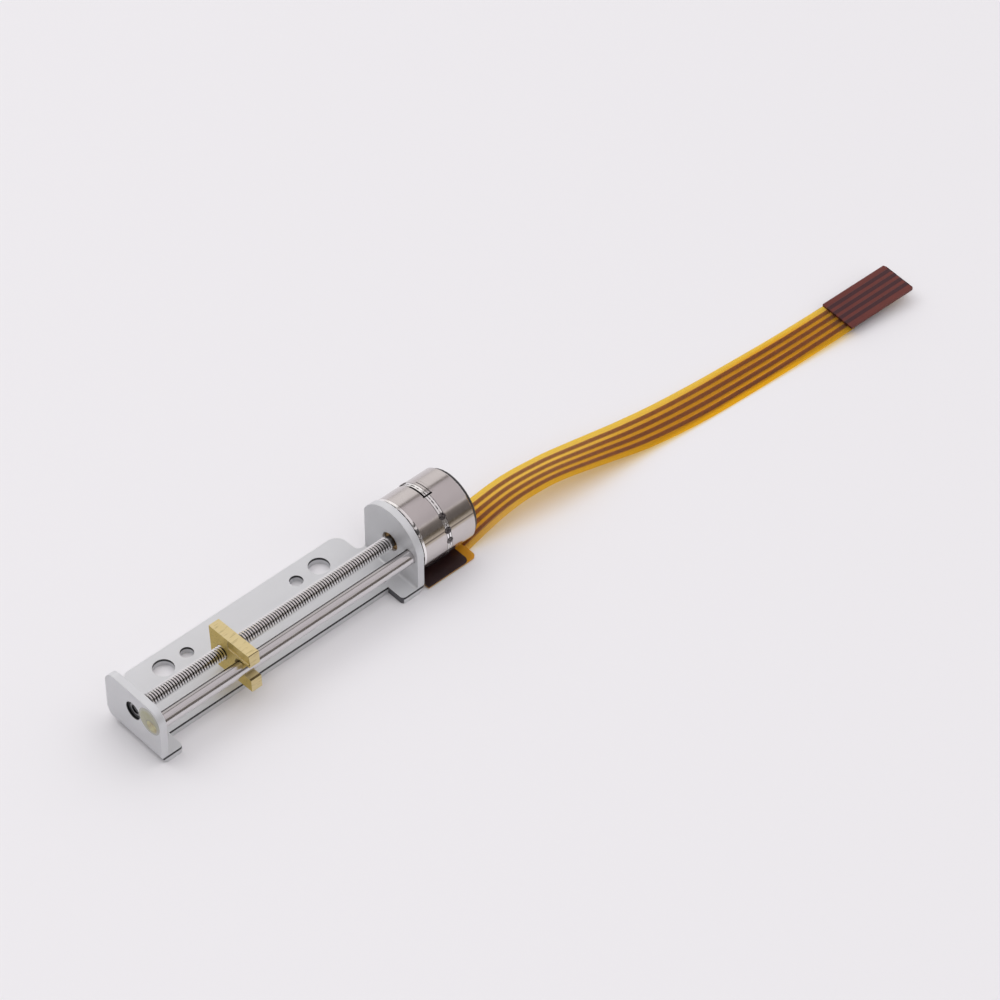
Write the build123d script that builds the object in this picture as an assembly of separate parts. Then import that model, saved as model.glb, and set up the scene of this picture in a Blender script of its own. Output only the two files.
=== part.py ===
from build123d import *
import os
from math import cos, radians, sin, tan

os.makedirs("parts", exist_ok=True)

# A miniature linear stepper actuator: a bent sheet-metal bracket holds a lead screw and a guide
# rod between two plates, a small claw-pole motor turns the screw, and a brass slider runs on it.
# Millimetres. X runs along the screw towards the motor, Z is up. The origin lies on the underside
# of the base, below the screw, midway between the two fixing holes.

# Bracket, one sheet of plated steel
sheet = 0.8
bend_inside = 0.3
bracket_length = 32.9
front_to_fixing = 7.36
fixing_pitch = 19.6
fixing_bore = 2.2
locating_pitch = 13.8
locating_bore = 1.4
hole_line = 4.72
flange_edge = 6.7
flange_front_gap = 3.7
flange_rear_gap = 1.8
flange_front_round = 0.9
flange_rear_round = 1.3
flange_inner_round = 0.7
base_right = 1.9
rod_hole_wall = 0.4
front_tab_length = 2.55
rear_tab_length = 2.8
tab_round = 0.4
rear_plate_left = 3.75
front_plate_above = 2.4
front_left_round = 1.4
front_right_round = 1.9
front_cut_height = 1.7
front_cut_depth = 0.95
rear_plate_margin = 0.15

# Lead screw and its bearings
screw_diameter = 1.5
thread_start_gap = 0.3
screw_chamfer = 0.12
pivot_diameter = 0.85
pivot_recess = 0.3
shank_diameter = 1.2
rear_pivot_diameter = 0.8
journal_clearance = 0.03
bush_bore = 2.0
bush_fit = 0.01
bush_recess = 0.25
bush_collar_diameter = 2.8
bush_collar_length = 0.4

# Guide rod beside the screw, and the drop of adhesive over its front end
rod_diameter = 1.5
rod_side = 2.9
rod_rise = 0.2
rod_fit = 0.02
rod_recess = 0.15
rod_chamfer = 0.1
adhesive_diameter = 2.6
adhesive_height = 0.14
adhesive_edge = 0.1

# Brass slider, a nut on the screw with a fork round the rod
slider_from_front = 10.87
slider_length = 1.25
slider_left = 1.7
slider_right = 4.2
slider_above = 2.4
slider_below = 2.3
slider_lean = 3
fork_gap = 0.125
fork_depth_gap = 0.25
nut_clearance = 0.04
relief_depth = 0.1
relief_below_top = 1.2
relief_start = 1.0

# Motor
motor_diameter = 8.0
stator_length = 3.45
cup_wall = 0.35
cup_end_wall = 0.3
cup_edge = 0.15
yoke_thickness = 0.27
end_cap_thickness = 0.35
end_cap_diameter = 7.5
teeth_per_yoke = 5
tooth_inside = 2.0
tooth_thickness = 0.25
tooth_root_angle = 32
tooth_tip_angle = 16
tooth_tip_gap = 0.45
bobbin_wall = 0.23
bobbin_gap = 0.02
coil_radius = 3.45
magnet_radius = 1.85
magnet_length = 5.0
hub_radius = 1.0
front_bearing_length = 1.0
front_bearing_nose = 0.5
front_bearing_diameter = 2.1
rear_bearing_length = 0.75
rear_bearing_diameter = 1.8
thrust_washer_thickness = 0.15
thrust_washer_diameter = 1.9
ball_diameter = 0.5
ball_pocket = 0.2
ball_play = 0.02
key_window_length = 0.65
key_window_start = 67
key_window_end = 98

# Terminals below the motor
block_length = 2.9
block_half_width = 2.2
block_fit = 0.02
pin_width = 0.25
pin_pitch = 1.0
pin_count = 4
pin_bury = 0.25
pin_window = 0.2
solder_diameter = 0.75
solder_height = 0.1

# Flexible printed cable
film = 0.1
backing = 0.1
head_clearance = 0.4
head_length = 5.3
head_film_extra = 1.0
head_right = 4.25
head_left = 2.6
head_round = 0.6
ribbon_width = 4.5
tab_length = 8.9
tab_backing = 0.2
tab_corner = 0.5
trace_pitch = 0.9
contact_width = 0.55
contact_length = 3.4
contact_thickness = 0.03
contact_setback = 0.3

# Stations along X
front_x = -(front_to_fixing + fixing_pitch / 2)
rear_x = front_x + bracket_length
inner_front = front_x + sheet
inner_rear = rear_x - sheet
thread_start = inner_front + bush_collar_length + thread_start_gap
thread_end = inner_rear - thread_start_gap
motor_seam = rear_x + stator_length
motor_back = rear_x + 2 * stator_length
motor_end = motor_back + end_cap_thickness
magnet_start = motor_seam - magnet_length / 2
magnet_end = motor_seam + magnet_length / 2
rear_bearing_start = motor_back - rear_bearing_length
ball_end = motor_back + ball_pocket
screw_end = ball_end - ball_diameter - ball_play

# Heights above the table: the motor lies on the cable's head, and the head on its solder joints
head_film_top = solder_height + film
head_top = head_film_top + backing
motor_radius = motor_diameter / 2
cup_inside = motor_radius - cup_wall
axis_height = head_top + motor_radius
rod_height = axis_height + rod_rise
front_plate_top = axis_height + front_plate_above
rear_plate_radius = motor_radius + rear_plate_margin
rear_plate_top = axis_height + rear_plate_radius

# Half the width of both plates, so that metal is left outside the rod's holes
plate_half = rod_side + rod_diameter / 2 + rod_hole_wall

# The ribbon's centre line from the head to the end tab: distance from the head's film edge,
# place across, height. Chosen points that follow the free lie of the ribbon.
ribbon_start = rear_x + head_clearance + head_length + head_film_extra
ribbon_route = [
    (0.0, -1.60, head_film_top - film / 2),
    (5.0, -1.60, 1.90),
    (10.8, -1.95, 2.55),
    (17.0, -2.45, 1.60),
    (23.0, -3.10, 0.42),
    (29.8, -3.80, 0.10),
    (37.0, -4.15, 0.07),
    (43.8, -4.50, 0.20),
    (49.7, -4.90, 0.66),
]


def round_corner(face, x, y, radius):
    """Round the corner of a flat outline that lies nearest to x, y."""
    corner = min(face.vertices(), key=lambda v: (v.X - x) ** 2 + (v.Y - y) ** 2)
    return fillet(corner, radius)


def outline(points):
    return make_face(Polyline(*points, close=True))


def across(face, start, length):
    """Extrude an outline drawn in Y and Z along X."""
    plane = Plane(origin=(start, 0, 0), x_dir=(0, 1, 0), z_dir=(1, 0, 0))
    return extrude(plane * face, length)


def on_axis(start, end, outer, inner=0.0):
    """A rod or a sleeve on the screw's axis, from start to end, by its radii."""
    plane = Plane(origin=(start, 0, axis_height), x_dir=(0, 1, 0), z_dir=(1, 0, 0))
    section = Circle(outer)
    if inner > 0:
        section -= Circle(inner)
    return extrude(plane * section, end - start)


def bracket():
    tall = rear_plate_top + 1
    channel = outline([
        (front_x, 0), (rear_x, 0), (rear_x, tall), (inner_rear, tall),
        (inner_rear, sheet), (inner_front, sheet), (inner_front, tall), (front_x, tall),
    ])
    channel = round_corner(channel, front_x, 0, bend_inside + sheet)
    channel = round_corner(channel, rear_x, 0, bend_inside + sheet)
    channel = round_corner(channel, inner_front, sheet, bend_inside)
    channel = round_corner(channel, inner_rear, sheet, bend_inside)
    wide = flange_edge + plate_half
    strip = extrude(Plane.XZ * channel, wide, both=True)

    plan = extrude(base_plan(), tall)
    bend_front = inner_front + bend_inside
    bend_rear = inner_rear - bend_inside
    front = across(front_plate_outline(), front_x, bend_front - front_x)
    rear = across(rear_plate_outline(), bend_rear, rear_x - bend_rear)
    middle = Pos((bend_front + bend_rear) / 2, 0, tall / 2) * Box(bend_rear - bend_front, 4 * wide, tall)
    body = strip & plan & (front + middle + rear)

    for x in (-fixing_pitch / 2, fixing_pitch / 2):
        body -= Pos(x, hole_line, 0) * Cylinder(fixing_bore / 2, 4 * sheet)
    for x in (-locating_pitch / 2, locating_pitch / 2):
        body -= Pos(x, hole_line, 0) * Cylinder(locating_bore / 2, 4 * sheet)
    body -= on_axis(front_x - 1, inner_front + 1, bush_bore / 2)
    body -= on_axis(inner_rear - 1, rear_x + 1, front_bearing_diameter / 2 + bush_fit)
    return body - rod_cylinder(rod_diameter / 2 + rod_fit, front_x - 1, rear_x + 1)


def base_plan():
    front_tab_end = front_x + front_tab_length
    rear_tab_start = rear_x - rear_tab_length
    flange_front = front_x + flange_front_gap
    flange_rear = rear_x - flange_rear_gap
    plan = outline([
        (front_x, -plate_half), (front_tab_end, -plate_half), (front_tab_end, -base_right),
        (rear_tab_start, -base_right), (rear_tab_start, -plate_half), (rear_x, -plate_half),
        (rear_x, rear_plate_left), (flange_rear, rear_plate_left), (flange_rear, flange_edge),
        (flange_front, flange_edge), (flange_front, plate_half), (front_x, plate_half),
    ])
    plan = round_corner(plan, front_tab_end, -plate_half, tab_round)
    plan = round_corner(plan, rear_tab_start, -plate_half, tab_round)
    plan = round_corner(plan, flange_rear, rear_plate_left, flange_inner_round)
    plan = round_corner(plan, flange_rear, flange_edge, flange_rear_round)
    return round_corner(plan, flange_front, flange_edge, flange_front_round)


def front_plate_outline():
    face = outline([
        (-plate_half, 0), (-plate_half, front_plate_top), (plate_half, front_plate_top),
        (plate_half, front_cut_height), (plate_half - front_cut_depth, 0),
    ])
    face = round_corner(face, -plate_half, front_plate_top, front_right_round)
    return round_corner(face, plate_half, front_plate_top, front_left_round)


def rear_plate_outline():
    """A disc round the motor's nose, cut straight on the flange side, on a straight foot."""
    reach = 2 * rear_plate_radius
    disc = Pos(0, axis_height) * Circle(rear_plate_radius)
    disc &= Pos(rear_plate_left - reach, axis_height) * Rectangle(2 * reach, 2 * reach)
    foot_width = plate_half + rear_plate_left
    foot = Pos((rear_plate_left - plate_half) / 2, axis_height / 2) * Rectangle(foot_width, axis_height)
    return disc + foot


def rod_cylinder(radius, start, end):
    plane = Plane(origin=(start, -rod_side, rod_height), x_dir=(0, 1, 0), z_dir=(1, 0, 0))
    return extrude(plane * Circle(radius), end - start)


def guide_rod():
    rod = rod_cylinder(rod_diameter / 2, front_x + rod_recess, rear_x)
    front_end = rod.faces().sort_by(Axis.X)[0].edges()
    return chamfer(front_end, rod_chamfer)


def rod_adhesive():
    """A drop of glue in the rod's hole, spread a little over the plate's face."""
    plane = Plane(origin=(front_x, -rod_side, rod_height), x_dir=(0, 1, 0), z_dir=(-1, 0, 0))
    drop = extrude(plane * Circle(adhesive_diameter / 2), adhesive_height)
    rim = drop.faces().sort_by(Axis.X)[0].edges()
    drop = chamfer(rim, adhesive_edge)
    return drop + rod_cylinder(rod_diameter / 2 + rod_fit, front_x, front_x + rod_recess)


def front_bush():
    collar_end = inner_front + bush_collar_length
    bush = on_axis(front_x + bush_recess, inner_front, bush_bore / 2 - bush_fit)
    bush += on_axis(inner_front, collar_end, bush_collar_diameter / 2)
    bore = pivot_diameter / 2 + journal_clearance
    return bush - on_axis(front_x, collar_end, bore)


def lead_screw():
    """Front pivot, full-diameter threaded length, shank through the motor and rear pivot."""
    pivot = pivot_diameter / 2
    full = screw_diameter / 2
    shank = shank_diameter / 2
    tail = rear_pivot_diameter / 2
    profile = [
        (front_x + pivot_recess, 0), (front_x + pivot_recess, pivot - screw_chamfer),
        (front_x + pivot_recess + screw_chamfer, pivot), (thread_start, pivot),
        (thread_start, full - screw_chamfer), (thread_start + screw_chamfer, full),
        (thread_end - screw_chamfer, full), (thread_end, full - screw_chamfer), (thread_end, shank),
        (magnet_end, shank), (magnet_end, tail), (screw_end, tail), (screw_end, 0),
    ]
    section = outline([(x, axis_height + r) for x, r in profile])
    line = Axis((0, 0, axis_height), (1, 0, 0))
    return revolve(Plane.XZ * section, line, 360)


def slider():
    """A nut with a fork. It leans on the screw by the play that the fork has on the rod."""
    front = front_x + slider_from_front
    lean = radians(slider_lean)
    fork_side = rod_side * cos(lean) + rod_rise * sin(lean)
    fork_rise = rod_rise * cos(lean) - rod_side * sin(lean)
    width = slider_left + slider_right
    middle = (slider_left - slider_right) / 2
    face = Pos(middle, (slider_above - slider_below) / 2) * Rectangle(width, slider_above + slider_below)
    slot = rod_diameter / 2 + fork_gap
    slot_end = rod_diameter / 2 + fork_depth_gap - slot - fork_side
    face -= Pos(slot_end, fork_rise) * Circle(slot)
    face -= Pos(slot_end - slider_right, fork_rise) * Rectangle(2 * slider_right, 2 * slot)
    block = across(face, front, slider_length)

    ledge = slider_above - relief_below_top
    relief = outline([(front, ledge), (front + relief_depth, ledge), (front, slider_above)])
    relief_plane = Plane(origin=(0, -relief_start, 0), x_dir=(1, 0, 0), z_dir=(0, -1, 0))
    block -= extrude(relief_plane * relief, slider_right)
    block = Pos(0, 0, axis_height) * Rot(-slider_lean, 0, 0) * block
    return block - on_axis(front, front + slider_length, screw_diameter / 2 + nut_clearance)


def tooth(start, end, angle):
    """One claw pole: a curved trapezoid, wide at its root and narrow at its tip."""
    length = end - start
    outer = tooth_inside + tooth_thickness
    root = 2 * outer * tan(radians(tooth_root_angle / 2))
    tip = 2 * outer * tan(radians(tooth_tip_angle / 2))
    wedge = outline([(start, -root / 2), (end, -tip / 2), (end, tip / 2), (start, root / 2)])
    block = extrude(wedge, 2 * outer)
    shell = on_axis(min(start, end), min(start, end) + abs(length), outer, tooth_inside)
    turned = Pos(0, 0, axis_height) * Rot(angle, 0, 0) * block
    return shell & turned


def claw_ring(start, end, first_angle):
    teeth = [tooth(start, end, first_angle + 360 / teeth_per_yoke * k) for k in range(teeth_per_yoke)]
    return teeth


def terminal_space(fit):
    """The room that the terminal block takes in the motor's wall, with a fit round it."""
    length = block_length + 2 * fit
    width = 2 * (block_half_width + fit)
    room = Pos(motor_seam, 0, axis_height / 2) * Box(length, width, axis_height)
    return room - on_axis(rear_x, motor_back, cup_inside)


def cup(outer_end, seam, phase):
    """A drawn steel cup with its claw poles, open towards the seam."""
    side = 1 if seam > outer_end else -1
    wall_end = outer_end + side * cup_end_wall
    low, high = sorted((outer_end, seam))
    can = on_axis(low, high, motor_radius)
    rim = can.faces().filter_by(Axis.X).sort_by(Axis.X)[0 if side > 0 else -1].edges()
    can = chamfer(rim, cup_edge)
    low, high = sorted((wall_end, seam))
    can -= on_axis(low, high, cup_inside)
    tip = motor_seam - side * (yoke_thickness + tooth_tip_gap)
    for claw in claw_ring(wall_end, tip, phase):
        can += claw
    can -= terminal_space(block_fit)
    hole = front_bearing_diameter if side > 0 else rear_bearing_diameter
    low, high = sorted((outer_end, wall_end))
    return can - on_axis(low - 1, high + 1, hole / 2 + bush_fit)


def key_window(start, length):
    """The cut in the rear cup's rim where the keys of the inner yokes show."""
    reach = 2 * motor_radius
    corner = [
        (0, 0),
        (reach * cos(radians(key_window_start)), reach * sin(radians(key_window_start))),
        (reach * cos(radians(key_window_end)), reach * sin(radians(key_window_end))),
    ]
    plane = Plane(origin=(start, 0, axis_height), x_dir=(0, 1, 0), z_dir=(1, 0, 0))
    wedge = extrude(plane * outline(corner), length)
    return wedge - on_axis(start, start + length, cup_inside)


def front_cup():
    return cup(rear_x, motor_seam - yoke_thickness, 90)


def rear_cup():
    seam = motor_seam + yoke_thickness
    quarter_pole = 360 / teeth_per_yoke / 4
    return cup(motor_back, seam, 90 + quarter_pole) - key_window(seam, key_window_length)


def yoke(side, phase):
    """One of the two inner yokes, back to back at the seam, its claws reaching into the cup."""
    face = motor_seam + side * yoke_thickness
    low, high = sorted((motor_seam, face))
    ring = on_axis(low, high, motor_radius, tooth_inside)
    cup_wall_face = motor_seam + side * (stator_length - cup_end_wall)
    for claw in claw_ring(face, cup_wall_face - side * tooth_tip_gap, phase):
        ring += claw
    return ring - terminal_space(block_fit)


def bobbin(side):
    near = motor_seam + side * (yoke_thickness + bobbin_gap)
    far = motor_seam + side * (stator_length - cup_end_wall - bobbin_gap)
    low, high = sorted((near, far))
    bore = tooth_inside + tooth_thickness + bobbin_gap
    hub = on_axis(low, high, bore + bobbin_wall, bore)
    cheeks = cup_inside - bobbin_gap
    hub += on_axis(low, low + bobbin_wall, cheeks, bore)
    return hub + on_axis(high - bobbin_wall, high, cheeks, bore)


def coil(side):
    near = motor_seam + side * (yoke_thickness + bobbin_gap + bobbin_wall)
    far = motor_seam + side * (stator_length - cup_end_wall - bobbin_gap - bobbin_wall)
    low, high = sorted((near, far))
    inner = tooth_inside + tooth_thickness + bobbin_gap + bobbin_wall
    return on_axis(low, high, coil_radius, inner)


def front_bearing():
    """A sleeve in the front cup's end wall, its nose in the hole of the rear plate."""
    start = rear_x - front_bearing_nose
    bore = shank_diameter / 2 + journal_clearance
    return on_axis(start, start + front_bearing_length, front_bearing_diameter / 2, bore)


def rear_bearing():
    bore = rear_pivot_diameter / 2 + journal_clearance
    return on_axis(rear_bearing_start, motor_back, rear_bearing_diameter / 2, bore)


def thrust_washer():
    end = magnet_start
    return on_axis(end - thrust_washer_thickness, end, thrust_washer_diameter / 2, shank_diameter / 2)


def end_cap():
    """The round cover behind the motor, hollowed for the thrust ball."""
    cap = on_axis(motor_back, motor_end, end_cap_diameter / 2)
    edge = cap.faces().filter_by(Axis.X).sort_by(Axis.X)[-1].edges()
    cap = chamfer(edge, end_cap_thickness / 3)
    return cap - on_axis(motor_back, ball_end, ball_diameter / 2 + bush_fit)


def thrust_ball():
    radius = ball_diameter / 2
    return Pos(ball_end - radius, 0, axis_height) * Sphere(radius)


def pin_places():
    first = -pin_pitch * (pin_count - 1) / 2
    return [first + pin_pitch * k for k in range(pin_count)]


def terminal_block():
    top = axis_height - cup_inside * cos(radians(45))
    height = top - head_top
    block = Pos(motor_seam, 0, head_top + height / 2) * Box(block_length, 2 * block_half_width, height)
    block -= on_axis(rear_x, motor_back, cup_inside)
    for y in pin_places():
        block -= terminal_pin(y)
    return block


def terminal_pin(y):
    length = head_top + pin_bury - solder_height
    return Pos(motor_seam, y, solder_height + length / 2) * Box(pin_width, pin_width, length)


def solder_joint(y):
    """A low cone of solder round the pin, under the film."""
    middle = solder_height / 2
    return Pos(motor_seam, y, middle) * Cone(pin_width / 2, solder_diameter / 2, solder_height)


def head_layer(bottom, thickness, length):
    """One layer of the head, a flat sheet with its rear corners rounded."""
    start = rear_x + head_clearance
    width = head_right + head_left
    middle = (head_left - head_right) / 2
    face = Pos(start + length / 2, middle) * Rectangle(length, width)
    for y in (-head_right, head_left):
        face = round_corner(face, start + length, y, head_round)
    return Pos(0, 0, bottom) * extrude(face, thickness)


def head_film():
    layer = head_layer(head_film_top - film, film, head_length + head_film_extra)
    for y in pin_places():
        layer -= terminal_pin(y)
    return layer


def head_backing():
    """The stiff sheet above the film, with one window round the row of pins."""
    layer = head_layer(head_film_top, backing, head_length)
    window_length = pin_width + 2 * pin_window
    window_width = pin_pitch * (pin_count - 1) + window_length
    return layer - Pos(motor_seam, 0, head_film_top) * Box(window_length, window_width, 4 * backing)


def ribbon_points():
    return [Vector(ribbon_start + x, y, z) for x, y, z in ribbon_route]


def ribbon():
    points = ribbon_points()
    radii = []
    for before, corner, after in zip(points, points[1:], points[2:]):
        shorter = min((corner - before).length, (after - corner).length)
        turn = (corner - before).get_angle(after - corner)
        radii.append(0.45 * shorter / tan(radians(turn / 2)))
    path = FilletPolyline(*points, radius=radii)
    first = (points[1] - points[0]).normalized()
    level = Vector(-first.Y, first.X, 0).normalized()
    section = Plane(origin=points[0], x_dir=level, z_dir=first) * Rectangle(ribbon_width, film)
    print("ribbon length", round(path.length, 2), "arc radii", [round(r, 1) for r in radii])
    return sweep(section, path)


def tab_plane():
    """The plane of the end tab: its X runs on along the ribbon, its Z points away from the table."""
    points = ribbon_points()
    ahead = (points[-1] - points[-2]).normalized()
    level = Vector(-ahead.Y, ahead.X, 0).normalized()
    return Plane(origin=points[-1], x_dir=ahead, z_dir=ahead.cross(level))


def tab_layer(bottom, thickness, corner):
    face = Pos(tab_length / 2, 0) * Rectangle(tab_length, ribbon_width)
    tips = face.vertices().group_by(Axis.X)[-1]
    face = chamfer(tips, corner)
    return tab_plane() * Pos(0, 0, bottom) * extrude(face, thickness)


def contact(place):
    across_tab = trace_pitch * (place - 1.5)
    centre = tab_length - contact_setback - contact_length / 2
    depth = -film / 2 - contact_thickness / 2
    return tab_plane() * Pos(centre, across_tab, depth) * Box(contact_length, contact_width, contact_thickness)


def build():
    nodes = {
        "bracket": bracket(),
        "front_bush": front_bush(),
        "guide_rod": guide_rod(),
        "rod_adhesive": rod_adhesive(),
        "lead_screw": lead_screw(),
        "slider": slider(),
        "front_cup": front_cup(),
        "front_yoke": yoke(-1, 90 + 180 / teeth_per_yoke),
        "front_bobbin": bobbin(-1),
        "front_coil": coil(-1),
        "rear_cup": rear_cup(),
        "rear_yoke": yoke(1, 90 + 270 / teeth_per_yoke),
        "rear_bobbin": bobbin(1),
        "rear_coil": coil(1),
        "rotor_hub": on_axis(magnet_start, magnet_end, hub_radius, shank_diameter / 2),
        "rotor_magnet": on_axis(magnet_start, magnet_end, magnet_radius, hub_radius),
        "thrust_washer": thrust_washer(),
        "motor_front_bearing": front_bearing(),
        "motor_rear_bearing": rear_bearing(),
        "thrust_ball": thrust_ball(),
        "end_cap": end_cap(),
        "terminal_block": terminal_block(),
        "flex_head_film": head_film(),
        "flex_head_backing": head_backing(),
        "flex_ribbon": ribbon(),
        "flex_tab_film": tab_layer(-film / 2, film, tab_corner),
        "flex_tab_backing": tab_layer(film / 2, tab_backing, tab_corner),
    }
    for number, y in enumerate(pin_places(), start=1):
        nodes[f"terminal_pin_{number}"] = terminal_pin(y)
        nodes[f"solder_joint_{number}"] = solder_joint(y)
    for number in range(4):
        nodes[f"flex_contact_{number + 1}"] = contact(number)
    return nodes


for name, shape in build().items():
    export_step(shape, f"parts/{name}.step")
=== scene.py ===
import math
import bpy
from mathutils import Matrix, Vector


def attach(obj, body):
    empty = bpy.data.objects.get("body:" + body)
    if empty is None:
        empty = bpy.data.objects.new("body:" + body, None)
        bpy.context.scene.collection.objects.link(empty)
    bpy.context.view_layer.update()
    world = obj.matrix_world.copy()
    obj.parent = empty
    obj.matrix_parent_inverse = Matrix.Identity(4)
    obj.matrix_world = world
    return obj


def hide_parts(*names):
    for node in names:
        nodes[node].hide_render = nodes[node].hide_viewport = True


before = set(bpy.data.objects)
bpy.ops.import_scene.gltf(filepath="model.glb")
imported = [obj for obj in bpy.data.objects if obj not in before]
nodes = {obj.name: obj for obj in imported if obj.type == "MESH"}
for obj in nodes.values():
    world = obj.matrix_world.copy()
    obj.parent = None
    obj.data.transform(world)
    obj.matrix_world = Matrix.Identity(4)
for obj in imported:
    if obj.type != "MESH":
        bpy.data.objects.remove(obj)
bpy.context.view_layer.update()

# The camera stands in front of the plate end, to the right of the screw and well above it,
# with a long lens, as the actuator was photographed.
camera_data = bpy.data.cameras.new("camera")
camera_data.lens = 167.3
camera_data.sensor_width = 36.0
camera_data.clip_start = 0.01
camera_data.clip_end = 20.0
camera = bpy.data.objects.new("camera", camera_data)
bpy.context.collection.objects.link(camera)
camera.location = (-0.18421, -0.23377, 0.33333)
camera_aim = Vector((0.02917, -0.00022, 0.00021))
camera.rotation_euler = (camera_aim - camera.location).to_track_quat("-Z", "Y").to_euler()
bpy.context.scene.camera = camera
bpy.context.scene.view_settings.view_transform = "Standard"

# The studio is a pale table under a wide soft light from above and behind, and a sky that is
# brightest overhead. What shines sees a bright sky behind and a dim room in front.
def lamp(name, place, aim, width, height, power):
    data = bpy.data.lights.new(name, "AREA")
    data.shape = "RECTANGLE"
    data.size = width
    data.size_y = height
    data.energy = power
    light = bpy.data.objects.new(name, data)
    bpy.context.collection.objects.link(light)
    light.location = place
    light.rotation_euler = (Vector(aim) - Vector(place)).to_track_quat("-Z", "Y").to_euler()
    return light


lamp("top_light", (-0.35, 0.45, 0.8), (0.02, 0.0, 0.0), 0.6, 0.6, 1.4)

world = bpy.data.worlds.new("studio")
bpy.context.scene.world = world
world.use_nodes = True
sky = world.node_tree
sky.nodes.clear()
sky_out = sky.nodes.new("ShaderNodeOutputWorld")
sky_light = sky.nodes.new("ShaderNodeBackground")
sky_place = sky.nodes.new("ShaderNodeTexCoord")
sky_split = sky.nodes.new("ShaderNodeSeparateXYZ")
sky_ramp = sky.nodes.new("ShaderNodeValToRGB")
sky_turn = sky.nodes.new("ShaderNodeMath")
sky_turn.operation = "ARCTAN2"
sky_share = sky.nodes.new("ShaderNodeMath")
sky_share.operation = "DIVIDE"
sky_share.inputs[1].default_value = math.pi
sky_side = sky.nodes.new("ShaderNodeMapRange")
sky_side.inputs[1].default_value = -0.8
sky_side.inputs[2].default_value = -0.2
sky_side.inputs[3].default_value = 0.2
sky_side.inputs[4].default_value = 1.0
sky.links.new(sky_place.outputs["Generated"], sky_split.inputs[0])
sky.links.new(sky_split.outputs["Z"], sky_turn.inputs[0])
sky.links.new(sky_split.outputs["Y"], sky_turn.inputs[1])
sky.links.new(sky_turn.outputs[0], sky_share.inputs[0])
sky.links.new(sky_share.outputs[0], sky_ramp.inputs[0])
sky.links.new(sky_split.outputs["X"], sky_side.inputs[0])
sky.links.new(sky_ramp.outputs[0], sky_light.inputs[0])
sky.links.new(sky_side.outputs[0], sky_light.inputs["Strength"])
sky_plain = sky.nodes.new("ShaderNodeBackground")
sky_plain.inputs[0].default_value = (0.99, 0.98, 1.0, 1)
sky_rise = sky.nodes.new("ShaderNodeMapRange")
sky_rise.inputs[3].default_value = 0.16
sky_rise.inputs[4].default_value = 1.66
sky.links.new(sky_split.outputs["Z"], sky_rise.inputs[0])
sky_dim = sky.nodes.new("ShaderNodeMapRange")
sky_dim.inputs[1].default_value = -0.7
sky_dim.inputs[2].default_value = 0.1
sky_dim.inputs[3].default_value = 0.25
sky_dim.inputs[4].default_value = 1.0
sky.links.new(sky_split.outputs["X"], sky_dim.inputs[0])
sky_soft = sky.nodes.new("ShaderNodeMath")
sky_soft.operation = "MULTIPLY"
sky.links.new(sky_rise.outputs[0], sky_soft.inputs[0])
sky.links.new(sky_dim.outputs[0], sky_soft.inputs[1])
sky.links.new(sky_soft.outputs[0], sky_plain.inputs["Strength"])
sky_ray = sky.nodes.new("ShaderNodeLightPath")
sky_both = sky.nodes.new("ShaderNodeMixShader")
sky.links.new(sky_ray.outputs["Is Diffuse Ray"], sky_both.inputs[0])
sky.links.new(sky_light.outputs[0], sky_both.inputs[1])
sky.links.new(sky_plain.outputs[0], sky_both.inputs[2])
sky.links.new(sky_both.outputs[0], sky_out.inputs[0])
sky_bands = [(0.0, 0.70, "pale"), (0.10, 0.92, "pale"), (0.282, 0.92, "pale"), (0.298, 0.20, "brown"),
             (0.326, 0.20, "brown"), (0.343, 0.62, "pink"), (0.40, 0.70, "pink"), (0.60, 0.68, "pink"),
             (0.755, 0.60, "pink"), (0.775, 0.90, "pale"), (0.792, 0.50, "brown"), (0.805, 0.22, "brown"),
             (0.88, 0.16, "brown"), (0.94, 0.13, "brown"), (1.0, 0.25, "brown")]
sky_tints = {"pale": (1.0, 0.97, 0.96), "pink": (1.0, 0.945, 0.97), "brown": (1.0, 0.90, 0.82)}
while len(sky_ramp.color_ramp.elements) < len(sky_bands):
    sky_ramp.color_ramp.elements.new(0.5)
for stop, (share, level, tint) in zip(sky_ramp.color_ramp.elements, sky_bands):
    stop.position = share
    stop.color = (*(level * part for part in sky_tints[tint]), 1)

bpy.ops.object.select_all(action="DESELECT")
bpy.ops.mesh.primitive_plane_add(size=6.0, location=(0, 0, -0.00002))
floor = bpy.context.object
floor.name = "table"
floor_material = bpy.data.materials.new("pale_table")
floor_material.use_nodes = True
floor_shader = floor_material.node_tree.nodes["Principled BSDF"]
floor_shader.inputs["Base Color"].default_value = (0.85, 0.835, 0.85, 1)
floor_shader.inputs["Roughness"].default_value = 0.75
floor.data.materials.append(floor_material)


# The cable's free ribbon is a polyimide film 0.1 mm thick with four etched copper tracks, lying
# in a low arch behind the motor and then on the table. It twists a little on its way to the tab.
def material(name):
    made = bpy.data.materials.new(name)
    made.use_nodes = True
    tree = made.node_tree
    return made, tree, tree.nodes["Principled BSDF"]


def dress(names, made):
    for name in names:
        nodes[name].data.materials.clear()
        nodes[name].data.materials.append(made)


def math_node(tree, operation, first, second=None):
    """A Math node. Each input is a number or a socket."""
    node = tree.nodes.new("ShaderNodeMath")
    node.operation = operation
    for place, value in enumerate((first, second)):
        if value is None:
            continue
        if isinstance(value, (int, float)):
            node.inputs[place].default_value = value
        else:
            tree.links.new(value, node.inputs[place])
    return node.outputs[0]


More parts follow.
